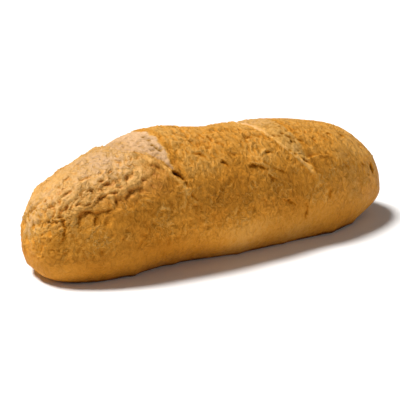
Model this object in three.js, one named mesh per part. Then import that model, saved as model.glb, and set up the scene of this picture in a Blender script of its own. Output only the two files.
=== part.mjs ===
// A hearth-baked wheat rye loaf: a long rounded body on a flat base, with two diagonal slashes
// opened across the crown and a wrinkled crust. Millimetres, +Z up, length along X, base centre at 0.
import * as THREE from 'three';
import { mergeVertices } from 'three/addons/utils/BufferGeometryUtils.js';
import { ImprovedNoise } from 'three/addons/math/ImprovedNoise.js';

// Body sizes
const LENGTH = 309;
const WIDTH = 110;
const CROWN_HEIGHT = 90;
const NOSE_HEIGHT = 27.7;
const BELLY_SHARE = 0.35;
const BASE_SHARE = 0.71;

// Powers of the arches that draw the plan, the long profile, the section and the underside
const PLAN_POWER = 2.82;
const PROFILE_POWER = 2.46;
const SECTION_POWER = 2.07;
const UNDER_POWER_LEFT = 6.4;
const UNDER_POWER_RIGHT = 4.2;
const UNDER_FLAT = 0.02;

// The right end is a little broader and lower than the left
const PLAN_TAPER = 0.03;
const PROFILE_TAPER = -0.015;

// The front edge of the base draws in at a waist and runs out again at a hip
const WAIST = { x: -54, spread: 35, share: -0.16 };
const HIP = { x: 94, spread: 35, share: 0.08 };

// Grid of the wrapped box: cells along each long face and round each quarter, and the share of the length
// before the end caps. Its stations lean along the loaf towards the front, as the slashes do
const CELLS = { along: 70, quarter: 18 };
const CAP_START = 0.8;
const BELLY_ROW = -0.45;
const SHOULDER = THREE.MathUtils.degToRad(58);
const LEAN = 0.24;

// Girth is the angle round the section: 0 on the crown line, 90 at the front belly, 120 at the base edge
const BELLY_GIRTH = 90;
const BASE_GIRTH = 120;
const DEGREE_LENGTH = 0.95;

// Slashes: place on the crown, drift along the loaf towards the front, reach round the girth, half width
// on the crown, and how far the crust swells on the left (lead) and right (step) of the cut
const SLASHES = [
  { x: -68, sweep: 18, reach: 60, half: 15, lead: 3, step: 5 },
  { x: 40, sweep: 22, reach: 70, half: 12.5, lead: -2.4, step: 0.6 },
];
const SLASH_ROUNDING = 12;
const SLASH_TAPER = 1.25;
const SLASH_TIP_HALF = 0.5;
const SWELL = { reach: 80, left: 42, right: 36 };
const LIP = { offset: -2.5, spread: 3.5, height: 1.1 };
const CREVICE = { offset: 3, spread: 3.4, depth: 3 };
const SLASH_FADE = 4;

// Cracks and dents in the crust, each from one point to another as [x, girth]
const CRACKS = [
  { from: [-139, 49], to: [-142, 76], depth: 1.6, spread: 3 },
  { from: [-36, 32], to: [-25, 36], depth: 1, spread: 2.6 },
  { from: [15, 50], to: [33, 59], depth: 1.6, spread: 2.8 },
  { from: [69, 49], to: [78, 52], depth: 1.2, spread: 2.6 },
  { from: [131, 56], to: [131, 74], depth: 1.4, spread: 3 },
  { from: [54, 92], to: [58, 102], depth: 1, spread: 3 },
];

// Left of the first slash the front sits back below a ledge in the crust
const LEDGE = { from: [-131, 60], to: [-78, 38], depth: 1.2, edge: 7, fade: 18, low: [80, 104] };

// Slow swells of the crust as waves of x and girth, and the finer wrinkles
const SWELLS = [
  { height: 0.6, along: 14, round: 40, phase: 0 },
  { height: 0.5, along: 23, round: -17, phase: 1.7 },
  { height: 0.4, along: 9, round: 12, phase: 0.6 },
];
const WRINKLE = { size: 12, height: 2.2, mean: 0.25 };

// The relief dies out towards the base edge and at the two tips
const BASE_FADE = 18;
const TIP_FADE = [142, 154];

const CRUST = { color: 0xb27a36, roughness: 0.55, metalness: 0 };

const { clamp, lerp, smoothstep } = THREE.MathUtils;

function arch(t, power) {
  return Math.max(1 - Math.abs(t) ** power, 0) ** (1 / power);
}

function bell(distance, spread) {
  return Math.exp(-((distance / spread) ** 2));
}

// Half width, crown height, underside and belly height of the cross-section at t, from -1 to 1 along the loaf
function sectionAt(t) {
  const half = WIDTH / 2 * arch(t, PLAN_POWER) * (1 + PLAN_TAPER * t);
  const rise = (CROWN_HEIGHT - NOSE_HEIGHT) * arch(t, PROFILE_POWER) * (1 + PROFILE_TAPER * t);
  const crown = NOSE_HEIGHT + rise;
  const lift = 1 - arch(t, t > 0 ? UNDER_POWER_RIGHT : UNDER_POWER_LEFT);
  const under = NOSE_HEIGHT * Math.max(0, (lift - UNDER_FLAT) / (1 - UNDER_FLAT));
  return { half, crown, under, belly: lerp(under, crown, BELLY_SHARE) };
}

// Half width of the base, drawn in and out along its front edge and narrowing where the ends lift
function baseHalf(x, half, under, front) {
  let share = BASE_SHARE;
  if (front) {
    for (const bend of [WAIST, HIP]) {
      share += bend.share * bell(x - bend.x, bend.spread);
    }
  }
  return half * share * (1 - under / NOSE_HEIGHT);
}

// Where a point of the box's skirt lies round the section: on the base, on the wall below the belly (drop,
// 0 at the belly to 1 at the base) or on the arch above it (angle, 0 at the belly to a quarter turn)
function roundSection(across, up) {
  const onSide = Math.abs(across) === 1;
  const hand = across < 0 ? 1 : -1;
  if (up === -1) {
    return { onBase: true, girth: hand * BASE_GIRTH };
  }
  if (onSide && up < BELLY_ROW) {
    const drop = (BELLY_ROW - up) / (BELLY_ROW + 1);
    return { drop, girth: hand * lerp(BELLY_GIRTH, BASE_GIRTH, drop) };
  }
  const sideAngle = (up - BELLY_ROW) / (1 - BELLY_ROW) * SHOULDER;
  const angle = onSide ? sideAngle : lerp(Math.PI / 2, SHOULDER, Math.abs(across));
  return { angle, girth: hand * (BELLY_GIRTH - THREE.MathUtils.radToDeg(angle)) };
}

// Place a point of the box surface (each of u, v, w from -1 to 1) on the loaf: the box's long faces become
// the base, the two sides and the crown, and its end faces close the two rounded ends
function placeOnLoaf(u, v, w) {
  const onEnd = Math.abs(u) === 1;
  const ring = onEnd ? Math.max(Math.abs(v), Math.abs(w)) : 1;
  const across = ring > 0 ? v / ring : 0;
  const up = ring > 0 ? w / ring : 1;
  const { onBase, drop, angle, girth } = roundSection(across, up);
  const turn = Math.sin(Math.PI * girth / BASE_GIRTH);
  const leaning = u * CAP_START + LEAN * turn * Math.abs(turn) * (1 - u * u);
  const cap = u * lerp(CAP_START, 1, Math.cos(ring * Math.PI / 2));
  const t = onEnd ? cap : leaning;
  const x = LENGTH / 2 * t;
  const { half, crown, under, belly } = sectionAt(t);
  const base = baseHalf(x, half, under, across < 0);
  if (onBase) {
    return { x, y: base * across, z: under, girth };
  }
  const hand = Math.sign(across);
  if (drop !== undefined) {
    return { x, y: hand * lerp(half, base, drop * drop), z: lerp(belly, under, drop), girth };
  }
  const y = hand * half * Math.cos(angle) ** (2 / SECTION_POWER);
  const z = belly + (crown - belly) * Math.sin(angle) ** (2 / SECTION_POWER);
  return { x, y, z, girth };
}

// Height of one slash's cut and of the crust that swells beside it
function slashRelief(slash, x, girth) {
  const middle = slash.x + slash.sweep * Math.sign(girth) * (girth / slash.reach) ** 2;
  const rounded = (angle) => Math.hypot(angle, SLASH_ROUNDING) - SLASH_ROUNDING;
  const away = rounded(girth) / rounded(slash.reach);
  const half = slash.half * Math.max(1 - away, 0) ** SLASH_TAPER;
  const open = clamp(half / SLASH_FADE, 0, 1);
  const lip = middle - Math.max(half, SLASH_TIP_HALF);
  const edge = middle + Math.max(half, SLASH_TIP_HALF);
  const rise = smoothstep(x, lip, edge);
  const before = x < lip ? bell(x - lip, SWELL.left) : 1 - rise;
  const after = x > edge ? bell(x - edge, SWELL.right) : rise;
  const round = Math.max(1 - (girth / SWELL.reach) ** 2, 0);
  const swell = round * (slash.lead * before + slash.step * after);
  const ridge = LIP.height * bell(x - lip - LIP.offset, LIP.spread);
  const groove = CREVICE.depth * bell(x - lip - CREVICE.offset, CREVICE.spread);
  return swell + open * (ridge - groove);
}

// Depth of a crack at a point of the crust
function crackRelief(crack, x, girth) {
  const [fromX, fromGirth] = crack.from;
  const run = new THREE.Vector2(crack.to[0] - fromX, (crack.to[1] - fromGirth) * DEGREE_LENGTH);
  const point = new THREE.Vector2(x - fromX, (girth - fromGirth) * DEGREE_LENGTH);
  const share = clamp(point.dot(run) / run.lengthSq(), 0, 1);
  return -crack.depth * bell(point.distanceTo(run.multiplyScalar(share)), crack.spread);
}

// The front below the ledge sits back
function ledgeRelief(x, girth) {
  const [startX, startGirth] = LEDGE.from;
  const [endX, endGirth] = LEDGE.to;
  const line = lerp(startGirth, endGirth, clamp((x - startX) / (endX - startX), 0, 1));
  const along = smoothstep(x, startX - LEDGE.fade, startX) * (1 - smoothstep(x, endX, endX + LEDGE.fade));
  const below = smoothstep(girth - line, 0, LEDGE.edge) * (1 - smoothstep(girth, ...LEDGE.low));
  return -LEDGE.depth * along * below;
}

const noise = new ImprovedNoise();

// How far the crust stands out from the smooth body
function crustRelief({ x, y, z, girth }) {
  let height = ledgeRelief(x, girth);
  for (const slash of SLASHES) {
    height += slashRelief(slash, x, girth);
  }
  for (const crack of CRACKS) {
    height += crackRelief(crack, x, girth);
  }
  for (const wave of SWELLS) {
    height += wave.height * Math.sin(x / wave.along + girth / wave.round + wave.phase);
  }
  const fold = Math.abs(noise.noise(x / WRINKLE.size, y / WRINKLE.size, z / WRINKLE.size));
  height += WRINKLE.height * (WRINKLE.mean - fold);
  const aboveBase = smoothstep(BASE_GIRTH - Math.abs(girth), 0, BASE_FADE);
  return height * aboveBase * (1 - smoothstep(Math.abs(x), ...TIP_FADE));
}

// Split each four-cornered cell along the diagonal that stands further out, so that no facet of the
// rounded ends lies flat in its ring
function splitOutward(skin) {
  const places = skin.getAttribute('position');
  const cells = skin.getIndex();
  const at = (i) => new THREE.Vector3().fromBufferAttribute(places, i);
  for (let k = 0; k < cells.count; k += 6) {
    const [a, b, d, , c] = cells.array.slice(k, k + 5);
    const [atA, atB, atC, atD] = [a, b, c, d].map(at);
    const outward = atC.clone().sub(atA).cross(atD.clone().sub(atB));
    const between = atA.add(atC).sub(atB).sub(atD);
    if (between.dot(outward) > 0) {
      cells.array.set([a, b, c, a, c, d], k);
    }
  }
}

// The whole loaf as one closed skin
function makeLoaf() {
  const box = new THREE.BoxGeometry(2, 2, 2, CELLS.along, CELLS.quarter, CELLS.quarter);
  box.deleteAttribute('normal');
  box.deleteAttribute('uv');
  const skin = mergeVertices(box);
  const places = skin.getAttribute('position');
  const body = [];
  for (let i = 0; i < places.count; i += 1) {
    const spot = placeOnLoaf(places.getX(i), places.getY(i), places.getZ(i));
    body.push(spot);
    places.setXYZ(i, spot.x, spot.y, spot.z);
  }
  splitOutward(skin);
  skin.computeVertexNormals();
  const outward = skin.getAttribute('normal');
  body.forEach((spot, i) => {
    const height = crustRelief(spot);
    places.setXYZ(
      i,
      spot.x + height * outward.getX(i),
      spot.y + height * outward.getY(i),
      spot.z + height * outward.getZ(i),
    );
  });
  skin.computeVertexNormals();
  return skin;
}

const loaf = new THREE.Mesh(makeLoaf(), new THREE.MeshStandardMaterial(CRUST));
loaf.name = 'loaf';

const bread = new THREE.Group();
bread.add(loaf);

export default bread;
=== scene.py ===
"""A wheat rye loaf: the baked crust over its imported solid, on a plain stage for a photograph."""
import math
from typing import NamedTuple

import bpy
import numpy as np
from bpy.props import FloatProperty, FloatVectorProperty, IntProperty, PointerProperty
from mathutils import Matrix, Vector, noise


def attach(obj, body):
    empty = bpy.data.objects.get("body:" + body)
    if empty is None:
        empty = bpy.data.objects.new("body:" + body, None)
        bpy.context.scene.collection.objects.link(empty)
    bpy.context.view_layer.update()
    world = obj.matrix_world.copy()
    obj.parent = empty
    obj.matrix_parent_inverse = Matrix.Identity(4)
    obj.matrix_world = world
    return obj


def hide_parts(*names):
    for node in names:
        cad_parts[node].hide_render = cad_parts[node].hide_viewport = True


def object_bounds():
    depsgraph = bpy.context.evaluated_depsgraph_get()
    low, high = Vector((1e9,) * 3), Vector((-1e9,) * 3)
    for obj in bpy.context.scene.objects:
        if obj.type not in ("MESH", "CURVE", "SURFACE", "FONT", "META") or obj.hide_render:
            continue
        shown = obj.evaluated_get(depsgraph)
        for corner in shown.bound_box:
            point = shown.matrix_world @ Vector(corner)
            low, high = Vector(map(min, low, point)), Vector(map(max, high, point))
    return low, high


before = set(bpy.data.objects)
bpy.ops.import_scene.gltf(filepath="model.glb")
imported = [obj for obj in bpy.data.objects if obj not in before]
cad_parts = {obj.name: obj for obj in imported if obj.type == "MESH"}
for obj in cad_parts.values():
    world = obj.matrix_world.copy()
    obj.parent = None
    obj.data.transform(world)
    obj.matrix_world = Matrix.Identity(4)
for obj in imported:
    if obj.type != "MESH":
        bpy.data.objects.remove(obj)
CAD_BOX = [list(corner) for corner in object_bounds()]

bl_info = {
    "name": "Wheat rye loaf",
    "version": (1, 0, 0),
    "blender": (4, 5, 0),
    "location": "View3D > Sidebar > Bread",
    "description": "Bakes a slashed wheat rye loaf over its solid and sets a plain stage for it",
    "category": "Add Mesh",
}

# Shapes are worked out in millimetres and made in metres
MM = 0.001

# Body of the loaf: powers of the arches that draw it, and its shares of height and width
PLAN_POWER = 2.82
PROFILE_POWER = 2.46
SECTION_POWER = 2.07
UNDER_POWER_LEFT = 6.4
UNDER_POWER_RIGHT = 4.2
UNDER_FLAT = 0.02
BELLY_SHARE = 0.35
BASE_SHARE = 0.71
PLAN_TAPER = 0.03
PROFILE_TAPER = -0.015

# Grid of the skin: cells along the loaf and round each quarter of it, and where the box's edges come to lie
CELLS_ALONG = 272
CELLS_QUARTER = 80
CAP_START = 0.8
BELLY_ROW = -0.45
BOX_EDGE = math.radians(47)

# Girth is the angle round the section: 0 on the crown line, 90 at the front belly, 120 at the base edge
BELLY_GIRTH = 90
BASE_GIRTH = 120
DEGREE_LENGTH = 0.95


class Bend(NamedTuple):
    """A bend of the front edge of the base."""
    x: float
    spread: float
    share: float  # of the half width, outward


# A waist and a hip, and small bends where the crust ran out over the oven floor
BASE_BENDS = (
    Bend(x=-54, spread=35, share=-0.16),
    Bend(x=94, spread=35, share=0.08),
    Bend(x=-89, spread=4, share=0.05),
    Bend(x=-55, spread=4, share=0.04),
    Bend(x=-3, spread=5, share=0.03),
    Bend(x=38, spread=4, share=0.02),
    Bend(x=86, spread=5, share=0.025),
    Bend(x=112, spread=4, share=0.04),
)


class Field(NamedTuple):
    """A field of smooth noise over the loaf."""
    width: float  # of its swells
    draw: int  # another draw gives another field


FIELDS = {
    "wander": Field(6, 0),
    "crumbs": Field(2.4, 1),
    "holes": Field(2.2, 2),
    "fray": Field(2.8, 3),
    "warp_along": Field(8, 4),
    "warp_across": Field(8, 5),
    "warp_up": Field(8, 6),
    "wide_pillows": Field(6.5, 7),
    "threads": Field(5.5, 10),
    "bake_patches": Field(30, 13),
    "crease_patches": Field(18, 14),
    "web_patches": Field(13, 15),
    "narrow_pillows": Field(5.0, 16),
    "bake_edge": Field(9, 17),
    "jags": Field(3.2, 18),
    "breaks": Field(9, 19),
    "streaks": Field(2.0, 20),
    "fold_patches": Field(5, 21),
}

# How far apart the noise of two seeds is read
SEED_SHIFT = np.array([17.3, 5.7, 11.1])


class Wave(NamedTuple):
    """A slow wave of the crust."""
    height: float
    along: float  # length of x for each radian
    turn: float  # degrees of girth for each radian
    phase: float


WAVES = (Wave(0.6, 14, 40, 0), Wave(0.5, 23, -17, 1.7), Wave(0.4, 9, 12, 0.6))


class Swell(NamedTuple):
    """Crust that swells on both sides of a slash."""
    x: float  # place of the slash on the crown line
    sweep: float  # its drift along the loaf towards the front
    reach: float  # girth where it ends
    half: float  # its half width on the crown
    lead: float  # height of the crust to its left
    step: float  # height of the crust to its right


SWELLS = (
    Swell(x=-68, sweep=18, reach=60, half=15, lead=3.0, step=5.0),
    Swell(x=40, sweep=22, reach=70, half=12.5, lead=-2.4, step=0.6),
)

# How the swells round off on the crown, taper to their tips, and fade round and along the loaf
SWELL_ROUNDING = 12
SWELL_TAPER = 1.25
SWELL_TIP_HALF = 0.5
SWELL_REACH = 80
SWELL_LEFT = 42
SWELL_RIGHT = 36


class Slash(NamedTuple):
    """A slash. The crust rolls down into it on the crown and stands up in a rim towards its foot."""
    depth: float  # drop inside the lip
    roll: float  # how far the crust rolls down
    rim: float  # height of the rim
    rim_start: float  # girth where the rim begins
    rim_place: float  # distance of the rim from the lip
    rim_highlight_pale: float  # how much paler the painted highlight along the top of the rim makes it
    crumb_pale: float  # how much paler the open crumb is
    crumb_painted_light: float  # painted light on the open crumb, painted shade where it is below 0
    skin_pale: float  # how much paler the smooth skin inside the lip is
    skin_painted_light: float  # painted light on the smooth skin, painted shade where it is below 0
    skin_calm: float  # how far the smooth skin is as dull as crumb
    brown: float  # how much browner the crust before the lip is, partly real browning and partly painted shade in the hollow beside the rim
    rows: tuple  # girth, lip, end of the smooth skin and far edge, from the back over the crown to the front


SLASHES = (
    Slash(
        depth=2.4, roll=0.0, rim=2.0, rim_start=22, rim_place=-1.8, rim_highlight_pale=0.08, crumb_pale=0.29,
        crumb_painted_light=-0.02, skin_pale=0.18, skin_painted_light=-0.08, skin_calm=0.5, brown=0.0,
        rows=(
            (-60, -88, -88, -88), (-45, -88, -84, -76), (-25, -88, -78, -62), (-5, -86, -73, -56),
            (6, -85, -75, -56), (12, -82, -74, -56), (16, -78, -72.5, -56.5), (19, -73.5, -70, -57),
            (25, -70, -67, -56.5), (30, -69, -65, -56), (34, -67, -61.5, -56), (37, -63, -60.5, -57),
            (40, -61, -59.5, -57), (43, -59.5, -58.5, -57), (47, -57, -57, -55.5), (53, -53.5, -53.5, -52.5),
            (58, -51.5, -51.5, -51), (62, -49.5, -49.5, -49.5),
        ),
    ),
    Slash(
        depth=2.0, roll=1.0, rim=1.9, rim_start=-40, rim_place=2.2, rim_highlight_pale=0.04, crumb_pale=0.10,
        crumb_painted_light=-0.12, skin_pale=0.27, skin_painted_light=0.05, skin_calm=0.9, brown=0.06,
        rows=(
            (-70, 20, 20, 20), (-50, 21, 27, 36), (-28, 25, 33, 46), (-4, 28.5, 37, 53), (6, 30.5, 38, 53.5),
            (14, 31.8, 39, 54), (20, 33.6, 40, 55), (26, 36, 41.5, 56), (31, 38, 43, 57.5),
            (36, 40, 44.5, 57.5), (44, 45, 49, 57), (51, 50, 53.5, 57.5), (57, 54.5, 56.5, 58.5),
            (62, 56.8, 58, 59), (66, 58.2, 58.8, 59.5), (72, 60, 60, 60),
        ),
    ),
)

# How far the edges of a slash wander and fray, and how wide it is where it counts as open
LIP_WANDER = 0.6
SKIN_WANDER = 1.2
FAR_WANDER = 2.0
FAR_FRAY = 1.2
OPEN_WIDTH = 3

# Rim, roll and floor of a slash, and the painted highlight along the top of its rim
RIM_RISE = 12
RIM_SPREAD = 2.2
RIM_HIGHLIGHT = 0.2
RIM_HIGHLIGHT_SPREAD = 1.8
ROLL_LENGTH = 5
FLOOR_POWER = 1.3

# Edges of a slash and of what it opened, from where each starts to where it is full
LIP_EDGE = (-0.3, 0.6)
SKIN_EDGES = ((-0.7, 0.3), (-0.6, 1.0))
CRUMB_EDGES = ((-0.6, 1.0), (-0.6, 1.2))
FOOT_EDGE = (-4, 4)

# Browner bands of crust before the lip and past the far edge, partly real browning and partly painted shade
# in the hollows beside the slash
LIP_BAND_PLACE = -4
LIP_BAND_SPREAD = 3.5
FAR_BAND_PLACE = 3
FAR_BAND_SPREAD = 3
FAR_BAND_TONE = 0.09

# Crumb, holes and drawn streaks inside a slash
CRUMB_HEIGHT = 0.8
HOLE_START = 0.12
HOLE_RANGE = 0.35
# How dark the painted shade in the crumb's holes is
HOLE_SHADE = 0.3
STREAK_LEAN = 0.6
STREAK_STRETCH = 0.2
STREAK_HEIGHT = 0.7


class Pore(NamedTuple):
    """An open pore in the crumb."""
    x: float
    girth: float
    radius: float
    dark: float  # how deep it is and how dark its painted shade is


PORES = (
    Pore(-62, 3, 0.9, 1.4), Pore(-61, 10, 0.9, 1.5), Pore(-62, 17, 1.0, 1.5), Pore(-61, 20.5, 0.9, 1.5),
    Pore(-60, 24, 1.0, 1.5), Pore(42.5, 10, 0.9, 1.0), Pore(48.5, 24, 0.9, 1.3), Pore(51.5, 29, 1.0, 1.2),
    Pore(51.5, 34, 0.9, 1.3), Pore(44.5, 26, 0.8, 0.9), Pore(54, 35, 0.8, 1.0), Pore(46.5, 42, 0.9, 1.0),
    Pore(49.5, 46, 0.9, 1.0), Pore(53, 22, 0.8, 0.8), Pore(41.5, 24, 0.7, 0.6), Pore(47, 17, 0.8, 0.8),
)
PORE_DEPTH = 1.2
PORE_LEAN = 0.3
PORE_STRETCH = 0.8
PORE_REACH = 1.1

# How much browner and darker the painted shade makes the holes and pores
SHADE_TONE = 0.3
SHADE_LIGHT = -0.55


class Fold(NamedTuple):
    """A fold of the crust along a line of (x, girth). Its near side stands up by its lift, and its far side,
    to the right of the way the line runs, lies lower by its drop."""
    lift: float
    drop: float
    spread: float  # how far from the line both fade out
    dark: float  # how much painted shade browns its low side
    line: tuple
    face: float = 0.4  # width of the step between the sides


FOLDS = (
    # The ledge left of the first slash, with a wide scoop at its left end
    Fold(0.5, 2.6, 12, 0.08, (
        (-105.5, 58), (-104.5, 53), (-103, 48.5), (-100, 48), (-97, 49.5), (-95, 48.5), (-93, 46), (-89, 46),
        (-86.5, 45.5), (-84, 44.5), (-82, 43), (-79, 43), (-76, 42), (-71, 39),
    ), face=2.0),
    Fold(0.6, 2.6, 7, 0.12, (
        (-132, 68), (-131, 61), (-131, 56), (-130, 52), (-127, 50.5), (-123, 50), (-120, 52.5), (-118, 55),
        (-114, 56), (-110, 56.5), (-106, 58),
    ), face=0.9),
    Fold(0.5, 1.2, 3.5, 0.10, ((-120, 67), (-120, 63), (-119.5, 60), (-118, 58.5))),
    Fold(0.4, 0.8, 3, 0.08, ((-115, 69), (-114, 66), (-113, 63))),
    # Scoops and creases of the crumpled skin above the ledge
    Fold(0.4, 1.3, 3.5, 0.08, ((-125, 49), (-124, 46), (-122, 45), (-119, 46.5), (-116.5, 47))),
    Fold(0.6, 2.0, 5, 0.12, ((-118, 49), (-115, 46), (-113, 44), (-110, 44), (-107, 45.5))),
    Fold(0.5, 1.6, 4.5, 0.12, ((-111, 41), (-110, 37), (-107, 35), (-104, 35.5), (-102, 36.5), (-100, 34.5))),
    Fold(0.5, 1.0, 3, 0.12, ((-112, 42), (-109, 44), (-106, 44), (-102, 45), (-99, 46))),
    Fold(0.4, 1.0, 4, 0.08, ((-120, 35), (-118, 33), (-116, 33.5), (-112, 36))),
    Fold(0.5, 1.2, 4, 0.14, ((-111.5, 33), (-110, 30.5), (-108, 30), (-106, 31), (-103.5, 29.5))),
    Fold(0.5, 1.3, 4, 0.18, ((-119.5, 24), (-118, 21.5), (-116, 21), (-113, 21.5), (-111.5, 21))),
    Fold(0.5, 1.2, 3, 0.20, ((-133, 28), (-132, 26), (-130, 25), (-127, 24.5))),
    Fold(0.5, 0.8, 4, 0.05, ((-133, 40), (-130, 41), (-126, 41.5), (-123, 41))),
    Fold(0.4, 1.0, 4, 0.08, ((-103, 30), (-102, 27), (-99, 26.5), (-95, 28))),
    Fold(0.5, 1.4, 4.5, 0.10, ((-93, 39), (-91, 36.5), (-89, 35), (-86, 34.5), (-83, 32))),
    Fold(0.4, 0.8, 3, 0.06, ((-102, 41), (-97, 42.5), (-92, 43.5))),
    Fold(0.4, 0.8, 3, 0.06, ((-99, 36), (-96, 35.5), (-93, 34))),
    Fold(0.3, 0.6, 2.5, 0.14, ((-124.5, 40), (-124, 37), (-124, 33))),
    Fold(0.5, 1.2, 3, 0.13, ((-138, 29), (-135, 27))),
    Fold(0.4, 1.0, 3, 0.13, ((-138, 6), (-135, 3))),
    Fold(0.4, 1.0, 3, 0.15, ((-147, 3), (-145, -3))),
    Fold(0.3, 0.9, 4, 0.08, ((-121, 16), (-118, 13))),
    # The crack down the left end and a shorter one beside it
    Fold(0.8, 1.8, 2.2, 0.60, (
        (-143.5, 74), (-141.5, 69), (-140.5, 65), (-139.5, 62), (-139, 56), (-139, 50), (-140, 46),
        (-139.5, 41), (-138.5, 38.5), (-135, 38.5), (-132, 38.5),
    )),
    Fold(0.6, 1.2, 2.2, 0.30, ((-145, 50), (-144, 43), (-142, 36))),
    # Torn flakes between the slashes
    Fold(0.7, 1.2, 3, 0.26, ((-38, 32), (-31, 32.5), (-27, 37))),
    Fold(0.9, 1.5, 3, 0.30, ((-19, 44), (-15, 42), (-12, 48))),
    Fold(1.0, 0.9, 4.5, 0.22, ((3, 51), (8, 49), (11, 50.5), (15, 52.5), (20, 55))),
    Fold(0.6, 0.7, 3, 0.16, ((23, 54), (33, 58), (36, 61))),
    Fold(0.6, 0.9, 3, 0.14, ((17, 59), (22, 62), (27, 65))),
    Fold(1.0, 1.6, 2.5, 0.36, ((22.5, 41.5), (24, 40), (27, 39.5), (30.5, 41.5))),
    # Steps and cracks right of the second slash
    Fold(1.5, 0.7, 5, 0.0, (
        (79, 59), (80, 53), (78, 50), (73, 50), (71, 48), (68, 49), (60, 51), (56, 54),
    )),
    Fold(0.5, 1.2, 3, 0.20, ((69, 50), (73, 51.5), (78, 51.5))),
    Fold(0.5, 1.4, 3, 0.30, ((89, 27), (93, 25), (97, 27))),
    Fold(0.7, 1.6, 3, 0.40, ((103, 25), (108, 25.5), (112, 28))),
    Fold(0.4, 1.1, 2.5, 0.24, ((57, 33), (62, 33))),
    Fold(0.8, 2.0, 3, 0.55, ((131, 55), (131, 62), (131, 70))),
    Fold(0.4, 1.1, 3, 0.22, ((94, 60), (97, 61), (99, 63))),
    Fold(0.4, 1.0, 3, 0.22, ((116, 57), (120, 59))),
    Fold(0.5, 1.0, 4, 0.16, ((77, 78), (75, 82), (73, 86))),
    Fold(0.8, 1.0, 4, 0.10, ((25, 78), (31, 80), (35, 81), (40, 84), (42, 88))),
    Fold(0.3, 1.2, 4, 0.22, ((50, 85), (51, 92), (51, 99))),
    # The edge of the skin and the torn edges of the first slash, browned partly by their bake and partly by
    # painted shade
    Fold(0.3, 0.8, 2.0, 0.35, ((-70, 27), (-72, 25), (-78, 18), (-83, 10), (-86, -5))),
    Fold(0.2, 1.6, 3.4, 0.80, ((-58, 42), (-56, 44.5), (-54.5, 47), (-53, 49))),
    Fold(0.5, 0.9, 2.6, 0.30, ((-68, 24), (-65, 27), (-62, 32), (-60.5, 35))),
    Fold(0.3, 0.6, 2.2, 0.22, ((-66, 23), (-63, 26), (-61, 29))),
    # Tears at the foot of each slash
    Fold(0.3, 3.0, 1.8, 0.90, (
        (-60, 40.5), (-57.5, 43), (-55.5, 45.5), (-54, 48), (-52.5, 50.5), (-51.5, 52),
    )),
    Fold(0.5, 2.0, 1.4, 0.60, ((-51, 53), (-50, 58))),
    Fold(0.4, 2.8, 2.2, 0.55, ((52.5, 48), (55, 51), (57.5, 54), (59, 57))),
)

# How far the lines of the folds fray, where their step starts, how dark the painted shade on their low side
# is and how pale the painted highlight on their raised side is
FOLD_FRAY = 0.6
FOLD_FRAY_SPREAD = 4
FOLD_STEP = -0.3
FOLD_SHADE = 0.6
FOLD_SHADE_REACH = 0.6
FOLD_HIGHLIGHT = 0.02
FOLD_HIGHLIGHT_SPREAD = 1.6

# Thin raised threads of crust, paler than the rest partly as a painted highlight on their raised tops, as
# lines of (x, girth)
THREADS = (
    ((-50, 60), (-50, 64), (-48, 68), (-51, 70), (-53, 73)),
    ((-48, 68), (-45, 70)),
    ((-88, 57), (-84, 58), (-80, 62), (-77, 62)),
    ((-74, 66), (-70, 69), (-68, 70), (-62, 72)),
    ((-62, 72), (-57, 70), (-55, 66), (-54, 60)),
    ((1, 51), (8, 48), (12, 49.5), (17, 52), (24, 56)),
    ((17, 43), (20, 41), (24, 39)),
    ((-106.5, 46), (-105.5, 50), (-105.5, 54), (-105.5, 58)),
)
THREAD_HEIGHT = 0.7
THREAD_HALF = 1.0
THREAD_FRAY = 0.8
THREAD_HIGHLIGHT = 0.07

# Zones of the crust, from where each starts to where it is full: x along the loaf, or girth round it
LEFT_BLOCK = (-62, -95)
LEFT_TIP = (-118, -140)
RIGHT_BLOCK = (25, 80)
TIP_FADE = (154, 142)
UNDER_LEDGE = (45, 58)
SHOULDER_GIRTH = 38
SHOULDER_SPREAD = 26
CROWN = (55, 35)
SIDES = (25, 60)
FLANK = (44, 62)
FOOT = (80, 104)
BASE_FADE = 16

# Steps and shards of the broken left block, and how far they and the pillows bend
PILLOW_BEND = 2.0
STEP_WIDTH = 4.8
SHARD_WIDTH = 3.4
STEP_BEND = 9
STEP_FRAY = 3

# Facets of the crumpled crust, twice as long round the loaf as along it
FACET_STRETCH = (1, 0.5, 0.5)
FACET_WIDTH = 3.2
FACET_BEND = 6.0
FACET_DRAW = 9

# Creases of the crumpled crust within the width of its widest facet, from broad ones to fine ones
CRUMPLE_RATES = (0.5, 0.7, 0.9, 1.2, 1.5)
CRUMPLE_BEND = 0.12
CRUMPLE_HEIGHT = 0.35

# The sheen on the left end, where the skin faces up
SHEEN_LEFT = (-50, -85)
SHEEN_UP = (0.3, 0.8)
SHEEN_GIRTH = (75, 45)
SHEEN_LOW = 0.03
SHEEN_HIGH = 0.7

# Hollows: how far round one the crust is averaged to find its depth, and how painted shade browns it
HOLLOW_ROUNDS = 8
HOLLOW_START = 0.05
HOLLOW_RANGE = 0.8
HOLLOW_SHADE_TONE = 0.25

# Tone that the bake starts from
START_TONE = 0.5

# Zones of the bake, given as the zones above
BAKED_TIP = (-112, -140)
BAKED_FLANK = (45, 54)
BAKED_BELLY = (98, 80)
AMBER_LEFT = (-35, -75)
AMBER_FOOT = (82, 96)
# Where the painted sheen lies high on the left end
PAINTED_SHEEN_LEFT = (-56, -90)
PAINTED_SHEEN_GIRTH = 8
PAINTED_SHEEN_SPREAD = 32
FAR_HALF = (40, 100)
FAR_TIP = (92, 128)
FAR_TIP_FOOT = (95, 75)
# Where the painted light on the belly lies along the loaf and round it
BELLY_LEFT = (-110, -60)
BELLY_MIDDLE = (-10, 30)
BELLY_RIGHT = (60, 110)
BELLY_LINE = 86
BELLY_SPREAD = 9


class PaintedLightBand(NamedTuple):
    """A stretch of the crust made lighter by painted light, and darker by painted shade where its light is
    below 0.
    """
    x: float
    reach: float
    girth: float
    spread: float
    light: float


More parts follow.
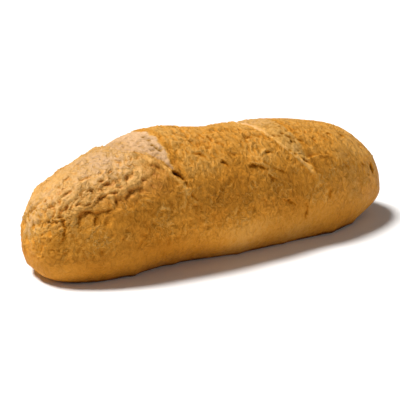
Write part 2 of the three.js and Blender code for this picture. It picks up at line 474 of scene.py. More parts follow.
PAINTED_LIGHT_BANDS = (
    PaintedLightBand(x=-20, reach=40, girth=103, spread=9, light=0.22),
    PaintedLightBand(x=75, reach=45, girth=103, spread=9, light=-0.07),
)

# The dark rim at the base edge: girth where it starts and is full, height, and growth towards the far half
RIM_GIRTH = (115, 120)
RIM_HEIGHT = (1.0, 3.5)
RIM_GROWTH = 3
RIM_TONE = 0.86
RIM_PATCHES = 0.10

# Maps that the skin carries for its material
MAPS = ("tone", "crumb", "light", "grain", "web", "shine")

# Grain of the skin: how it bends, its web of threads, and its crinkles, spots and facets
SWAY_WIDTH = 6.0 * MM
SWAY_REACH = 5.0 * MM
WEB_WIDTH = 6.0 * MM
WEB_LINE = 0.05
CRINKLE_SIZE = (3.2 * MM, 6.0 * MM, 6.0 * MM)
SPOT_SIZE = (1.3 * MM, 2.4 * MM, 2.4 * MM)
FACET_SIZE = (3.6 * MM, 5.0 * MM, 5.0 * MM)

# How strongly the grain shows in the skin's tone, light, roughness and height
CRINKLE_GAIN = 0.14
CRINKLE_MEAN = 0.165
SPOT_SHARE = 0.4
FLECK_TONE = -0.3
FLECK_LIGHT = 0.65
# The web's raised threads are paler, partly as a painted highlight, and its cracks darker as painted shade
WEB_HIGHLIGHT_AND_SHADE = -0.11
SPOT_ROUGHNESS = -0.2
CRINKLE_HEIGHT = 5.0
FACET_HEIGHT = 4.0
WEB_HEIGHT = 0.8
GRAIN_DEPTH = 0.6 * MM

# Roughness of baked skin and of open crumb
SKIN_ROUGHNESS = 0.48
CRUMB_ROUGHNESS = 0.7

# The camera stands where the photograph was taken from
VIEW_AZIMUTH = math.radians(-32)
VIEW_ELEVATION = math.radians(19)
VIEW_DISTANCE = 0.78
VIEW_TARGET = Vector((-0.0116, 0.0, 0.0332))
VIEW_NEAREST = 0.01
FOCAL_PIXELS = 1013
IMAGE_PIXELS = 400

# A soft key light from the back left and above, a weak fill from the front, and a wide matt floor
KEY_FROM = Vector((-0.33, 0.28, 0.90))
KEY_SPREAD = math.radians(18)
FILL_FROM = Vector((0.5, -1.2, 0.5))
FILL_SIZE = 0.9
FLOOR_REACH = 6.0
FLOOR_ROUGHNESS = 0.9


def linear(code):
    """Linear colour of an sRGB hex value."""
    channels = [int(code[i:i + 2], 16) / 255 for i in (1, 3, 5)]
    return [c / 12.92 if c <= 0.04045 else ((c + 0.055) / 1.055) ** 2.4 for c in channels]


def colour(name, description, code):
    """A colour that a user can change."""
    return FloatVectorProperty(name=name, description=description, subtype="COLOR", size=3, min=0, max=1,
                               default=linear(code))


def size(name, description, default):
    """A length that a user can change."""
    return FloatProperty(name=name, description=description, default=default, min=0, unit="LENGTH")


class LoafShape(bpy.types.PropertyGroup):
    """Sizes of the loaf."""
    length: size("Length", "End to end", CAD_BOX[1][0] - CAD_BOX[0][0])
    width: size("Width", "Across the belly", 110 * MM)
    crown: size("Crown", "Height of the crown between the slashes", 90 * MM)
    nose: size("Nose", "Height of the tips of the two ends", 27.7 * MM)
    lump: size("Lump", "Height of the lumps on the shoulders", 1.1 * MM)
    wrinkle: size("Wrinkle", "Height of the fine wrinkles", 0.55 * MM)
    seed: IntProperty(name="Seed", description="Another seed gives other wrinkles", default=3)


class CrustLook(bpy.types.PropertyGroup):
    """Colours of the crust, from the pale crumb to the dark base."""
    crumb: colour("Crumb", "Open crumb in the slashes", "#E4BB90")
    skin: colour("Skin", "Thin pale skin on the lips", "#D0A474")
    pale: colour("Pale gold", "Crust that browned least", "#D6A052")
    gold: colour("Gold", "Lightly baked crust", "#CE8A30")
    brown: colour("Brown", "Well baked crust", "#AF670E")
    dark: colour("Dark", "Deep cracks", "#784608")
    base: colour("Base", "Crust that lay on the oven floor", "#3F210B")


class StageLook(bpy.types.PropertyGroup):
    """The table and the light."""
    floor: colour("Floor", "Pale table", "#F4F3F1")
    key: FloatProperty(name="Key", description="Soft light from the back left", default=4.6, min=0)
    fill: FloatProperty(name="Fill", description="Weak light from the front", default=2.3, min=0,
                        unit="POWER")
    sky: FloatProperty(name="Sky", description="Even light from all round", default=0.1, min=0)


def arch(t, power):
    """An arch from 0 at t = -1 over 1 in the middle to 0 at t = 1."""
    return np.maximum(1 - np.abs(t) ** power, 0) ** (1 / power)


def bell(distance, spread):
    """1 at no distance, falling off over the spread."""
    return np.exp(-(distance / spread) ** 2)


def ease(start, end, value):
    """Smooth step from 0 at start to 1 at end, whichever of them is larger."""
    t = np.clip((value - start) / (end - start), 0, 1)
    return t * t * (3 - 2 * t)


def mix(a, b, share):
    """From a at share 0 to b at share 1."""
    return a + (b - a) * share


def box_skin(along, quarter):
    """Corners (u, v, w from -1 to 1) and four-cornered cells of the surface of a box."""
    counts = np.array([along, quarter, quarter])
    cells = []
    for axis in range(3):
        first, second = (axis + 1) % 3, (axis + 2) % 3
        row, column = np.meshgrid(np.arange(counts[first]), np.arange(counts[second]), indexing="ij")
        for level in (0, counts[axis]):
            corners = []
            for step_row, step_column in ((0, 0), (1, 0), (1, 1), (0, 1)):
                corner = np.empty((row.size, 3), int)
                corner[:, axis] = level
                corner[:, first] = (row + step_row).ravel()
                corner[:, second] = (column + step_column).ravel()
                corners.append(corner)
            if level == 0:
                corners.reverse()
            cells.append(np.stack(corners, axis=1))
    cells = np.concatenate(cells)
    corners, index = np.unique(cells.reshape(-1, 3), axis=0, return_inverse=True)
    return corners / counts * 2 - 1, index.reshape(-1, 4)


def section_at(t, shape):
    """Half width, crown height, underside and belly height of the loaf at t, from -1 to 1 along it."""
    nose = shape.nose / MM
    half = shape.width / MM / 2 * arch(t, PLAN_POWER) * (1 + PLAN_TAPER * t)
    crown = nose + (shape.crown / MM - nose) * arch(t, PROFILE_POWER) * (1 + PROFILE_TAPER * t)
    lift = 1 - arch(t, np.where(t > 0, UNDER_POWER_RIGHT, UNDER_POWER_LEFT))
    under = nose * np.maximum(0, (lift - UNDER_FLAT) / (1 - UNDER_FLAT))
    return half, crown, under, mix(under, crown, BELLY_SHARE)


def place_on_loaf(corners, shape):
    """Points and girth of the smooth body: the box's long faces become base, sides and crown, and its end
    faces close the rounded ends."""
    u, v, w = corners.T
    on_end = np.abs(u) == 1
    ring = np.where(on_end, np.maximum(np.abs(v), np.abs(w)), 1)
    across = np.divide(v, ring, out=np.zeros_like(v), where=ring > 0)
    up = np.divide(w, ring, out=np.ones_like(w), where=ring > 0)
    t = u * np.where(on_end, mix(CAP_START, 1, np.cos(ring * np.pi / 2)), CAP_START)
    x = shape.length / MM / 2 * t
    half, crown, under, belly = section_at(t, shape)
    front = across < 0
    share = np.full_like(x, BASE_SHARE)
    for bend in BASE_BENDS:
        share += front * bend.share * bell(x - bend.x, bend.spread)
    base = half * share * (1 - under / (shape.nose / MM))
    on_side = np.abs(across) == 1
    on_base = up == -1
    on_wall = on_side & (up < BELLY_ROW)
    drop = np.clip((BELLY_ROW - up) / (BELLY_ROW + 1), 0, 1)
    side_angle = np.clip((up - BELLY_ROW) / (1 - BELLY_ROW), 0, 1) * BOX_EDGE
    angle = np.where(on_side, side_angle, mix(np.pi / 2, BOX_EDGE, np.abs(across)))
    hand = np.sign(across)
    arch_y = hand * half * np.cos(angle) ** (2 / SECTION_POWER)
    arch_z = belly + (crown - belly) * np.sin(angle) ** (2 / SECTION_POWER)
    y = np.select([on_base, on_wall], [base * across, hand * mix(half, base, drop ** 2)], arch_y)
    z = np.select([on_base, on_wall], [under, mix(belly, under, drop)], arch_z)
    round_side = np.select([on_base, on_wall], [BASE_GIRTH, mix(BELLY_GIRTH, BASE_GIRTH, drop)],
                           BELLY_GIRTH - np.degrees(angle))
    return np.stack([x, y, z], axis=1), np.where(front, round_side, -round_side)


def split_outward(points, cells):
    """Starts each cell at the corner whose diagonal stands further out, because it is split there."""
    a, b, c, d = (points[cells[:, k]] for k in range(4))
    inward = ((a + c - b - d) * np.cross(c - a, d - b)).sum(axis=1) < 0
    cells[inward] = np.roll(cells[inward], 1, axis=1)


def outward_normals(points, cells):
    """The way out at each corner, averaged over its cells."""
    a, b, c, d = (points[cells[:, k]] for k in range(4))
    facing = np.cross(c - a, d - b)
    normals = np.zeros_like(points)
    for k in range(4):
        np.add.at(normals, cells[:, k], facing)
    return normals / np.linalg.norm(normals, axis=1, keepdims=True)


def smoothed(values, cells, rounds):
    """Each corner's value averaged with its neighbours', several times over."""
    index = cells.ravel()
    count = np.bincount(index)
    for _ in range(rounds):
        middle = np.repeat(values[cells].mean(axis=1), 4)
        values = np.bincount(index, weights=middle) / count
    return values


def noise_field(points, width, seed):
    """Smooth noise, about -0.7 to 0.7, with swells of the given width."""
    shifted = points / width + seed * SEED_SHIFT
    return np.array([noise.noise(p) for p in shifted.tolist()])


def billow(field):
    """Rounded pillows with sharp creases between them, from about -0.7 to 1, out of smooth noise."""
    return np.abs(field) / 0.3 - 0.7


def crumple(points, width, seed):
    """Flat facets with sharp creases between them, as on crumpled paper, the widest of the given width."""
    draw = np.random.default_rng(seed)
    place = points / width
    height = np.zeros(len(points))
    for rate in CRUMPLE_RATES:
        way = draw.normal(size=3)
        crease = np.abs((place @ way * (rate / np.linalg.norm(way)) + draw.random()) % 1 - 0.5) * 4 - 1
        height += crease / rate
        place = place + CRUMPLE_BEND / rate * crease[:, None] * draw.normal(size=3)
    return CRUMPLE_HEIGHT * height


def line_distance(line, x, girth):
    """Distance on the crust to a line of (x, girth) points, in millimetres and positive to the right of its
    way, and a share that falls from 1 in the line's middle to 0 at its ends."""
    best = np.full_like(x, np.inf)
    side = np.ones_like(x)
    passed = np.zeros_like(x)
    length = 0
    for (x0, g0), (x1, g1) in zip(line, line[1:]):
        run = np.array([x1 - x0, (g1 - g0) * DEGREE_LENGTH])
        away = np.stack([x - x0, (girth - g0) * DEGREE_LENGTH], axis=1)
        share = np.clip(away @ run / (run @ run), 0, 1)
        reach = np.linalg.norm(away - share[:, None] * run, axis=1)
        nearer = reach < best
        best[nearer] = reach[nearer]
        side[nearer] = np.where(run[0] * away[nearer, 1] > run[1] * away[nearer, 0], 1, -1)
        passed[nearer] = length + share[nearer] * math.hypot(*run)
        length += math.hypot(*run)
    return best * side, np.sqrt(np.sin(np.pi * np.clip(passed / length, 0, 1)))


class Crust:
    """Maps over the skin of the loaf: the relief in millimetres, the tone from pale to dark, which is mostly
    the bake but also holds painted shade in hollows and folds and painted highlights and sheen, the light
    that its colour has beside the tone, which is painted light and shade, where the crumb is open, the
    painted shade of its holes, and how strong the fine grain, the web of threads and the sheen are."""

    def __init__(self, body, normals, girth, seed):
        self.body = body
        self.up = normals[:, 2]
        self.x = body[:, 0]
        self.z = body[:, 2]
        self.girth = girth
        self.around = np.abs(girth)
        self.seed = seed
        self.relief = np.zeros_like(self.x)
        self.tone = np.full_like(self.x, START_TONE)
        self.light = np.ones_like(self.x)
        self.crumb = np.zeros_like(self.x)
        self.shade = np.zeros_like(self.x)
        self.grain = np.ones_like(self.x)
        self.web = np.zeros_like(self.x)
        self.shine = np.zeros_like(self.x)
        self.wander = self.field("wander", body)

    def field(self, name, points):
        """A field of smooth noise at the points."""
        width, draw = FIELDS[name]
        return noise_field(points, width, self.seed + draw)

    def swell(self):
        """Slow waves, and the crust that swells on both sides of each slash."""
        for wave in WAVES:
            self.relief += wave.height * np.sin(self.x / wave.along + self.girth / wave.turn + wave.phase)
        fade = np.maximum(1 - (self.girth / SWELL_REACH) ** 2, 0)
        rounded = np.hypot(self.girth, SWELL_ROUNDING) - SWELL_ROUNDING
        for swell in SWELLS:
            away = rounded / (math.hypot(swell.reach, SWELL_ROUNDING) - SWELL_ROUNDING)
            half = np.maximum(swell.half * np.maximum(1 - away, 0) ** SWELL_TAPER, SWELL_TIP_HALF)
            middle = swell.x + swell.sweep * np.sign(self.girth) * (self.girth / swell.reach) ** 2
            left, right = self.x - middle + half, self.x - middle - half
            rise = ease(0, 1, left / (2 * half))
            before = np.where(left < 0, bell(left, SWELL_LEFT), 1 - rise)
            after = np.where(right > 0, bell(right, SWELL_RIGHT), rise)
            self.relief += fade * (swell.lead * before + swell.step * after)

    def slash(self):
        """Cuts the slashes, with their crumb, holes and pores, and paints shade into the holes and pores."""
        crumbs = self.field("crumbs", self.body)
        across = self.x - STREAK_LEAN * self.girth * DEGREE_LENGTH
        drawn = np.stack([across, STREAK_STRETCH * self.girth, np.zeros_like(across)], axis=1)
        streaks = self.field("streaks", drawn)
        holes = np.clip(-HOLE_START - self.field("holes", self.body), 0, HOLE_RANGE) / HOLE_RANGE
        for slash in SLASHES:
            self.open_slash(slash, crumbs, holes, streaks)
        for pore in PORES:
            along = (self.girth - pore.girth) * DEGREE_LENGTH
            away = np.hypot(self.x - pore.x - PORE_LEAN * along, PORE_STRETCH * along)
            hollow = bell(away, PORE_REACH * pore.radius)
            self.relief -= PORE_DEPTH * pore.dark * hollow
            self.shade = np.maximum(self.shade, pore.dark * hollow)
        # Painted shade in the holes and pores browns and darkens them
        self.tone += SHADE_TONE * self.shade
        self.light += SHADE_LIGHT * self.shade

    def open_slash(self, slash, crumbs, holes, streaks):
        """Opens one slash: a lip, a drop inside it, smooth skin, and crumb that rises to the far edge."""
        rows = np.array(slash.rows)
        back, front = rows[0, 0], rows[-1, 0]
        lip, skin, far = (np.interp(self.girth, rows[:, 0], rows[:, k]) for k in (1, 2, 3))
        lip = lip + LIP_WANDER * self.wander
        skin = skin + SKIN_WANDER * self.wander
        far = far + FAR_WANDER * self.wander + FAR_FRAY * crumbs
        inside = self.x - lip
        opened = np.clip((far - lip) / OPEN_WIDTH, 0, 1)
        share = np.clip(inside / np.maximum(far - lip, 0.1), 0, 1)
        cut = ease(*LIP_EDGE, inside)
        smooth = opened * ease(*SKIN_EDGES[0], inside) * ease(*SKIN_EDGES[1], skin - self.x)
        bare = opened * ease(*CRUMB_EDGES[0], self.x - skin) * ease(*CRUMB_EDGES[1], far - self.x)
        run = ease(back, back + RIM_RISE, self.girth) * ease(*FOOT_EDGE, front - self.girth)
        raised = run * ease(slash.rim_start, slash.rim_start + RIM_RISE, self.girth)
        # Top of the rim, where a painted highlight makes it paler and lighter
        crest = raised * bell(inside - slash.rim_place, RIM_HIGHLIGHT_SPREAD)
        # Relief of the rim, the floor, the rolled lip, and the crumb and the skin inside
        self.relief += slash.rim * raised * bell(inside - slash.rim_place, RIM_SPREAD)
        self.relief -= opened * slash.depth * cut * (1 - share) ** FLOOR_POWER
        rolled = (1 - cut) * np.exp(np.minimum(inside, 0) / ROLL_LENGTH)
        self.relief -= opened * (1 - raised) * slash.roll * rolled
        self.relief += CRUMB_HEIGHT * bare * (crumbs - holes) + STREAK_HEIGHT * smooth * streaks
        # Paler crumb, skin and rim, painted light and shade on the crumb and the skin, and a painted
        # highlight along the top of the rim
        self.tone -= slash.crumb_pale * bare * (1 + 0.3 * crumbs)
        self.tone -= slash.skin_pale * smooth * (1 - 0.6 * raised) * (1 + 0.5 * streaks)
        self.tone -= slash.rim_highlight_pale * crest
        self.light += slash.crumb_painted_light * bare + slash.skin_painted_light * smooth + RIM_HIGHLIGHT * crest
        # Browner crust before the lip and past the far edge, partly real browning and partly painted shade
        self.tone += slash.brown * opened * (1 - raised) * bell(inside - LIP_BAND_PLACE, LIP_BAND_SPREAD)
        self.tone += FAR_BAND_TONE * opened * bell(self.x - far - FAR_BAND_PLACE, FAR_BAND_SPREAD)
        # Painted shade in the crumb's holes
        self.shade = np.maximum(self.shade, HOLE_SHADE * bare * holes)
        self.crumb = np.maximum(self.crumb, np.maximum(bare, slash.skin_calm * smooth))

    def fold(self):
        """Lifts the folds and flakes of the crust, and the thin threads, with painted shade on the low side
        of each fold and painted highlights on its raised side and on the threads.
        """
        ragged = 2.0 * self.wander + self.field("fray", self.body)
        patchy = np.clip(0.9 + self.field("fold_patches", self.body), 0.5, 1.2)
        for fold in FOLDS:
            away, whole = line_distance(fold.line, self.x, self.girth)
            whole = whole * patchy
            away = away + FOLD_FRAY * ragged * min(1, fold.spread / FOLD_FRAY_SPREAD)
            below = ease(FOLD_STEP, fold.face, away)
            near = whole * np.exp(-np.abs(away) / fold.spread)
            self.relief += near * mix(fold.lift, -fold.drop, below)
            # Painted shade on the low side, and a painted highlight on the raised side
            self.tone += FOLD_SHADE * fold.dark * whole * below * bell(away, FOLD_SHADE_REACH * fold.spread)
            self.tone -= FOLD_HIGHLIGHT * whole * (1 - below) * bell(away, FOLD_HIGHLIGHT_SPREAD)
        for line in THREADS:
            away, whole = line_distance(line, self.x, self.girth)
            ridge = whole * bell(away + THREAD_FRAY * ragged, THREAD_HALF)
            self.relief += THREAD_HEIGHT * ridge
            # Paler threads, partly as a painted highlight
            self.tone -= THREAD_HIGHLIGHT * ridge

    def calm_tips(self):
        """Keeps what runs along the girth off the tips, where the girth lines meet."""
        self.relief *= ease(*TIP_FADE, np.abs(self.x))

    def wrinkle(self, lump, fine):
        """Wrinkles: broken lumps high on the left, fine creases on the crown, threads on the front, and a
        smooth band at the foot."""
        left = ease(*LEFT_BLOCK, self.x)
        right = ease(*RIGHT_BLOCK, self.x)
        tip = ease(*LEFT_TIP, self.x)
        flank = ease(*FLANK, self.around)
        sides = ease(*SIDES, self.around)
        recess = left * ease(*UNDER_LEDGE, self.girth) * (1 - tip)
        shoulder = left * bell(self.girth - SHOULDER_GIRTH, SHOULDER_SPREAD) * (1 - recess)
        rough = (1 - 0.75 * ease(*FOOT, self.around)) * (1 - 0.65 * self.crumb)
        ways = ("warp_along", "warp_across", "warp_up")
        warp = np.stack([self.field(name, self.body) for name in ways], axis=1)
        bent = self.body + PILLOW_BEND * warp
        patchy = np.clip(0.9 + 1.3 * self.field("crease_patches", self.body), 0.2, 1.6)
        # Lumps, and the broken steps and shards of the left block
        pillows = billow(self.field("wide_pillows", bent)) - 0.7 * billow(self.field("narrow_pillows", bent))
        down = 0.8 * self.girth * DEGREE_LENGTH + 0.5 * self.x
        jagged = STEP_FRAY * self.field("jags", self.body)
        steps = (down + STEP_BEND * warp[:, 0] + jagged) / STEP_WIDTH % 1
        shards = (down - 0.4 * self.x + STEP_BEND * warp[:, 1] - jagged) / SHARD_WIDTH % 1
        broken = np.clip(0.6 + 1.6 * self.field("breaks", self.body), 0.1, 1.3)
        broad = broken * (steps - 0.5) + (1.4 - broken) * 0.6 * (shards - 0.5)
        self.relief += lump * rough * (0.1 * pillows + broad * (0.7 * tip + 1.0 * shoulder))
        # Creases all over and threads on the front
        stretched = (self.body + FACET_BEND * warp) * FACET_STRETCH
        facets = crumple(stretched, FACET_WIDTH, self.seed + FACET_DRAW)
        threads = -billow(self.field("threads", bent))
        creased = 1.4 - 0.8 * sides + 0.1 * shoulder + 0.3 * tip - 0.1 * recess - 0.4 * right
        self.relief += fine * rough * (patchy * facets * creased + 0.5 * flank * (1 - right) * threads)
        # Paler crown, painted light that makes the shoulder and the tip paler and lighter, and how strong the
        # grain, the web and the sheen are
        self.tone -= 0.04 * shoulder + 0.045 * tip + 0.05 * (1 - sides)
        self.light += 0.03 * shoulder + 0.06 * tip
        even = 1 - 0.15 * shoulder - 0.15 * tip - 0.2 * recess
        self.grain = (0.5 + 0.5 * rough) * (1 + 0.2 * sides) * even
        # Raised threads take a painted highlight in part, and cracks take painted shade
        patches = self.field("web_patches", self.body)
        raised = flank * np.clip(0.4 + 3.0 * patches, 0, 1)
        cracked = ease(*CROWN, self.around) * (0.3 + 0.7 * left) * np.clip(0.5 + 2.0 * patches, 0, 1)
        self.web = rough * (raised - cracked)
        bright = ease(*SHEEN_LEFT, self.x) * ease(*SHEEN_UP, self.up)
        satin = (1 - 0.9 * self.crumb) * ease(*SHEEN_GIRTH, self.around)
        self.shine = (SHEEN_LOW + SHEEN_HIGH * bright) * satin

    def shade_hollows(self, cells):
        """Browns the hollows, which lie deeper than the crust around them, as painted shade, and leaves the
        open crumb out.
        """
        depth = smoothed(self.relief, cells, HOLLOW_ROUNDS) - self.relief
        self.tone += HOLLOW_SHADE_TONE * np.clip(depth - HOLLOW_START, 0, HOLLOW_RANGE) * (1 - self.crumb) ** 2

    def bake(self):
        """Browns the crust: golden crown, browner flank, amber foot, and a dark rim round the base, with
        painted light on the belly and the far tip, painted shade on the foot, and a painted sheen high on the
        left end.
        """
        patches = self.field("bake_patches", self.body)
        ragged = self.around + 6 * self.field("bake_edge", self.body) + 4 * self.wander
        flank = ease(*BAKED_FLANK, ragged) * ease(*BAKED_BELLY, self.around)
        foot = ease(*AMBER_LEFT, self.x) * ease(*AMBER_FOOT, self.around)
        tip = ease(*BAKED_TIP, self.x)
        end = ease(*FAR_TIP, self.x) * ease(*FAR_TIP_FOOT, self.around)
        painted_sheen = ease(*PAINTED_SHEEN_LEFT, self.x) * bell(self.girth - PAINTED_SHEEN_GIRTH, PAINTED_SHEEN_SPREAD) * (1 - 0.4 * tip)
        # Painted light on the belly, strongest left of the middle, on the flank and on the far tip, painted
        # shade on the foot, and bands of painted light and shade along the foot
        middle = ease(*BELLY_LEFT, self.x)
        middle *= 1 - 0.4 * ease(*BELLY_MIDDLE, self.x) - 0.6 * ease(*BELLY_RIGHT, self.x)
        self.light += (0.20 * bell(self.around - BELLY_LINE, BELLY_SPREAD) + 0.02 * flank) * middle
        self.light += 0.14 * end - 0.05 * foot
        for painted_band in PAINTED_LIGHT_BANDS:
            band = bell(self.around - painted_band.girth, painted_band.spread)
            self.light += painted_band.light * bell(self.x - painted_band.x, painted_band.reach) * band
        # Tone of the bake, and a paler tone high on the left end as a painted sheen
        self.tone += 0.05 * flank + 0.08 * foot + 0.08 * patches - 0.05 * end - 0.03
        self.tone -= (0.15 * painted_sheen + 0.02 * tip) * (1 - self.crumb)
        # The rim at the base edge
        far = ease(*FAR_HALF, self.x)
        low = 1 - ease(RIM_HEIGHT[0], RIM_HEIGHT[1] + far, self.z + 2 * self.wander)
        rim = low * ease(*RIM_GIRTH, self.around + 4 * self.wander + RIM_GROWTH * far)
        self.tone = np.clip(mix(self.tone, RIM_TONE + RIM_PATCHES * patches, rim), 0, 1)

    def settle(self):
        """Keeps the relief off the flat base."""
        self.relief *= ease(0, BASE_FADE, BASE_GIRTH - self.around)


def add_node(tree, kind, inputs=None, **settings):
    """Adds a node, sets its properties, and fills its inputs with values or links. A node given as an input
    stands for its first output."""
    node = tree.nodes.new(kind)
    for key, value in settings.items():
        setattr(node, key, value)
    for socket, value in (inputs or {}).items():
        if isinstance(value, bpy.types.Node):
            value = value.outputs[0]
        if isinstance(value, bpy.types.NodeSocket):
            tree.links.new(value, node.inputs[socket])
        else:
            node.inputs[socket].default_value = value
    return node


def crust_grain(tree, maps):
    """Patterns of the skin: a web of threads, fine crinkles, spots, and small facets tilted every way."""
    place = add_node(tree, "ShaderNodeTexCoord").outputs["Object"]
    sway = add_node(tree, "ShaderNodeTexNoise", {"Vector": place, "Scale": 1 / SWAY_WIDTH, "Detail": 2})
    bent = add_node(tree, "ShaderNodeVectorMath", {
        0: sway.outputs["Color"], 1: (SWAY_REACH,) * 3, 2: place,
    }, operation="MULTIPLY_ADD")
    crinkle_place, spot_place, facet_place = (
        add_node(tree, "ShaderNodeVectorMath", {
            0: bent, 1: [1 / width for width in widths],
        }, operation="MULTIPLY")
        for widths in (CRINKLE_SIZE, SPOT_SIZE, FACET_SIZE)
    )
    net = add_node(tree, "ShaderNodeTexNoise", {
        "Vector": bent, "Scale": 1 / WEB_WIDTH, "Detail": 3, "Roughness": 0.5, "Distortion": 0.5,
    })
    slope = add_node(tree, "ShaderNodeMath", {0: net, 1: 0.5}, operation="SUBTRACT")
    steep = add_node(tree, "ShaderNodeMath", {0: slope}, operation="ABSOLUTE")
    thread = add_node(tree, "ShaderNodeMapRange", {
        "Value": steep, "From Max": WEB_LINE, "To Min": 1, "To Max": 0,
    }, interpolation_type="SMOOTHSTEP")
    threads = add_node(tree, "ShaderNodeMath", {0: thread, 1: maps["web"]}, operation="MULTIPLY")
    crinkle = add_node(tree, "ShaderNodeTexNoise", {
        "Vector": crinkle_place, "Scale": 1, "Detail": 3, "Roughness": 0.6, "Distortion": 0.6,
        "Offset": 1, "Gain": 2,
    }, noise_type="RIDGED_MULTIFRACTAL")
    level = add_node(tree, "ShaderNodeMath", {
        0: crinkle, 1: CRINKLE_GAIN, 2: -CRINKLE_MEAN,
    }, operation="MULTIPLY_ADD")
    crinkles = add_node(tree, "ShaderNodeMath", {0: level, 1: maps["grain"]}, operation="MULTIPLY")
    spot = add_node(tree, "ShaderNodeTexNoise", {
        "Vector": spot_place, "Scale": 1, "Detail": 3, "Roughness": 0.6, "Distortion": 0.4,
    })
    even = add_node(tree, "ShaderNodeMath", {0: spot, 1: 0.5}, operation="SUBTRACT")
    spots = add_node(tree, "ShaderNodeMath", {0: even, 1: maps["grain"]}, operation="MULTIPLY")
    facet = add_node(tree, "ShaderNodeTexVoronoi", {"Vector": facet_place, "Scale": 1})
    offset = add_node(tree, "ShaderNodeVectorMath", {
        0: facet_place, 1: facet.outputs["Position"],
    }, operation="SUBTRACT")
    tilt = add_node(tree, "ShaderNodeVectorMath", {
        0: facet.outputs["Color"], 1: (0.5, 0.5, 0.5),
    }, operation="SUBTRACT")
    slant = add_node(tree, "ShaderNodeVectorMath", {0: offset, 1: tilt}, operation="DOT_PRODUCT")
    facets = add_node(tree, "ShaderNodeMath", {
        0: slant.outputs["Value"], 1: maps["grain"],
    }, operation="MULTIPLY")
    return threads, crinkles, spots, facets


def bread_crust(look):
    """Baked bread crust: dried starch and gluten skin, browned along one scale from pale crumb to dark base.
    The eye sees a satin skin that glints on its folds, a duller open crumb and a fine grain all over."""
    material = bpy.data.materials.new("baked_bread_crust")
    material.use_nodes = True
    tree = material.node_tree
    tree.nodes.clear()
    maps = {name: add_node(tree, "ShaderNodeAttribute", attribute_name=name).outputs["Fac"] for name in MAPS}
    threads, crinkles, spots, facets = crust_grain(tree, maps)
    # Colour: the tone along its scale, mostly the bake with painted shade and highlights, with flecks that
    # shift both its tone and its light
    flecks = add_node(tree, "ShaderNodeMath", {
        0: spots, 1: SPOT_SHARE, 2: crinkles,
    }, operation="MULTIPLY_ADD")
    flecked = add_node(tree, "ShaderNodeMath", {
        0: flecks, 1: FLECK_TONE, 2: maps["tone"],
    }, operation="MULTIPLY_ADD")
    # Paler threads, partly a painted highlight, and darker cracks as painted shade
    baked = add_node(tree, "ShaderNodeMath", {0: threads, 1: WEB_HIGHLIGHT_AND_SHADE, 2: flecked}, operation="MULTIPLY_ADD")
    browning = add_node(tree, "ShaderNodeValToRGB", {"Fac": baked})
    stops = ((0.0, look.crumb), (0.20, look.skin), (0.34, look.pale), (0.48, look.gold), (0.66, look.brown),
             (0.84, look.dark), (1.0, look.base))
    elements = browning.color_ramp.elements
    while len(elements) < len(stops):
        elements.new(0.5)
    for element, (position, stop) in zip(elements, stops):
        element.position = position
        element.color = (*stop, 1)
    # Light of the colour: the flecks, and the painted light and shade of the light map
    bright = add_node(tree, "ShaderNodeMath", {
        0: flecks, 1: FLECK_LIGHT, 2: maps["light"],
    }, operation="MULTIPLY_ADD")
    lit = add_node(tree, "ShaderNodeVectorMath", {0: browning, "Scale": bright}, operation="SCALE")
    # Satin skin and duller crumb
    dull = add_node(tree, "ShaderNodeMapRange", {
        "Value": maps["crumb"], "To Min": SKIN_ROUGHNESS, "To Max": CRUMB_ROUGHNESS,
    })
    satin = add_node(tree, "ShaderNodeMath", {0: spots, 1: SPOT_ROUGHNESS, 2: dull}, operation="MULTIPLY_ADD")
    # Height of the grain
    fine = add_node(tree, "ShaderNodeMath", {0: crinkles, 1: CRINKLE_HEIGHT}, operation="MULTIPLY")
    folds = add_node(tree, "ShaderNodeMath", {0: facets, 1: FACET_HEIGHT, 2: fine}, operation="MULTIPLY_ADD")
    height = add_node(tree, "ShaderNodeMath", {0: threads, 1: WEB_HEIGHT, 2: folds}, operation="MULTIPLY_ADD")
    bump = add_node(tree, "ShaderNodeBump", {"Height": height, "Distance": GRAIN_DEPTH})
    crust = add_node(tree, "ShaderNodeBsdfPrincipled", {
        "Base Color": lit,
        "Roughness": satin,
        "Normal": bump,
        "IOR": 1.45,
        "Specular IOR Level": 0.04,
        "Coat Weight": maps["shine"],
        "Coat Roughness": 0.6,
        "Coat Normal": bump,
        "Coat IOR": 1.5,
    })
    add_node(tree, "ShaderNodeOutputMaterial", {"Surface": crust})
    return material


def plain_paint(name, shade, roughness):
    """Matt paint for the stage."""
    material = bpy.data.materials.new(name)
    material.use_nodes = True
    shader = material.node_tree.nodes["Principled BSDF"]
    shader.inputs["Base Color"].default_value = (*shade, 1)
    shader.inputs["Roughness"].default_value = roughness
    return material


def mesh_object(name, points, cells):
    """A mesh in the scene, from points in metres and cells of their numbers."""
    mesh = bpy.data.meshes.new(name)
    mesh.from_pydata(points.tolist(), [], cells.tolist())
    mesh.update()
    piece = bpy.data.objects.new(name, mesh)
    bpy.context.scene.collection.objects.link(piece)
    return piece


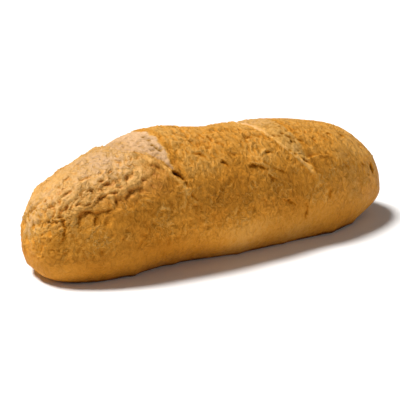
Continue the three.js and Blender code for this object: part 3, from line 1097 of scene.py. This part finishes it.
class LOAF_OT_bake(bpy.types.Operator):
    """Bake the loaf: one closed skin with its slashes, cracks and wrinkles"""
    bl_idname = "loaf.bake"
    bl_label = "Bake the loaf"

    def execute(self, context):
        shape = context.scene.loaf_shape
        corners, cells = box_skin(CELLS_ALONG, CELLS_QUARTER)
        body, girth = place_on_loaf(corners, shape)
        split_outward(body, cells)
        normals = outward_normals(body, cells)
        crust = Crust(body, normals, girth, shape.seed)
        crust.swell()
        crust.slash()
        crust.fold()
        crust.calm_tips()
        crust.wrinkle(shape.lump / MM, shape.wrinkle / MM)
        crust.shade_hollows(cells)
        crust.bake()
        crust.settle()
        points = (body + normals * crust.relief[:, None]) * MM
        loaf = mesh_object("baked_loaf", points, cells)
        for name in MAPS:
            loaf.data.attributes.new(name, "FLOAT", "POINT").data.foreach_set("value", getattr(crust, name))
        loaf.data.shade_smooth()
        loaf.data.materials.append(bread_crust(context.scene.crust_look))
        if loaf.data.validate():
            raise RuntimeError("the loaf's skin has faulty cells")
        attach(loaf, "root")
        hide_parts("loaf")
        return {"FINISHED"}


class LOAF_OT_stage(bpy.types.Operator):
    """Lay the pale table, set the soft lights and stand the camera where the photograph was taken from"""
    bl_idname = "loaf.stage"
    bl_label = "Set the stage"

    def execute(self, context):
        look = context.scene.stage_look
        edge = FLOOR_REACH * np.array([(-1, -1, 0), (1, -1, 0), (1, 1, 0), (-1, 1, 0)])
        floor = mesh_object("floor", edge, np.array([[0, 1, 2, 3]]))
        floor.data.materials.append(plain_paint("matt_white_board", look.floor, FLOOR_ROUGHNESS))
        self.lamp(context, "key", "SUN", KEY_FROM, look.key, angle=KEY_SPREAD)
        self.lamp(context, "fill", "AREA", FILL_FROM, look.fill, size=FILL_SIZE)
        world = bpy.data.worlds.new("even_sky")
        world.use_nodes = True
        world.node_tree.nodes["Background"].inputs["Color"].default_value = (1, 1, 1, 1)
        world.node_tree.nodes["Background"].inputs["Strength"].default_value = look.sky
        context.scene.world = world
        context.scene.view_settings.view_transform = "Standard"
        self.camera(context)
        return {"FINISHED"}

    def lamp(self, context, name, kind, place, power, **settings):
        """Hangs a lamp that points at the loaf."""
        lamp = bpy.data.lights.new(name, kind)
        lamp.energy = power
        for key, value in settings.items():
            setattr(lamp, key, value)
        holder = bpy.data.objects.new(name, lamp)
        holder.location = place
        holder.rotation_euler = (VIEW_TARGET - place).to_track_quat("-Z", "Y").to_euler()
        context.scene.collection.objects.link(holder)

    def camera(self, context):
        """Stands the camera at the photograph's angle."""
        lens = bpy.data.cameras.new("camera")
        lens.lens = FOCAL_PIXELS / IMAGE_PIXELS * lens.sensor_width
        lens.clip_start = VIEW_NEAREST
        stand = bpy.data.objects.new("camera", lens)
        back = Vector((
            math.sin(VIEW_AZIMUTH) * math.cos(VIEW_ELEVATION),
            -math.cos(VIEW_AZIMUTH) * math.cos(VIEW_ELEVATION),
            math.sin(VIEW_ELEVATION),
        ))
        stand.location = VIEW_TARGET + VIEW_DISTANCE * back
        stand.rotation_euler = (-back).to_track_quat("-Z", "Y").to_euler()
        context.scene.collection.objects.link(stand)
        context.scene.camera = stand


class LOAF_PT_bread(bpy.types.Panel):
    """The loaf's sizes and colours, and the steps that make it"""
    bl_idname = "LOAF_PT_bread"
    bl_label = "Wheat rye loaf"
    bl_space_type = "VIEW_3D"
    bl_region_type = "UI"
    bl_category = "Bread"

    def draw(self, context):
        for group, step in (("loaf_shape", None), ("crust_look", "loaf.bake"), ("stage_look", "loaf.stage")):
            settings = getattr(context.scene, group)
            for name in settings.__annotations__:
                self.layout.prop(settings, name)
            if step:
                self.layout.operator(step)


CLASSES = (LoafShape, CrustLook, StageLook, LOAF_OT_bake, LOAF_OT_stage, LOAF_PT_bread)


def register():
    for cls in CLASSES:
        bpy.utils.register_class(cls)
    bpy.types.Scene.loaf_shape = PointerProperty(type=LoafShape)
    bpy.types.Scene.crust_look = PointerProperty(type=CrustLook)
    bpy.types.Scene.stage_look = PointerProperty(type=StageLook)


def unregister():
    del bpy.types.Scene.stage_look
    del bpy.types.Scene.crust_look
    del bpy.types.Scene.loaf_shape
    for cls in reversed(CLASSES):
        bpy.utils.unregister_class(cls)


def main():
    register()
    bpy.ops.loaf.bake()
    bpy.ops.loaf.stage()


if __name__ == "__main__":
    main()
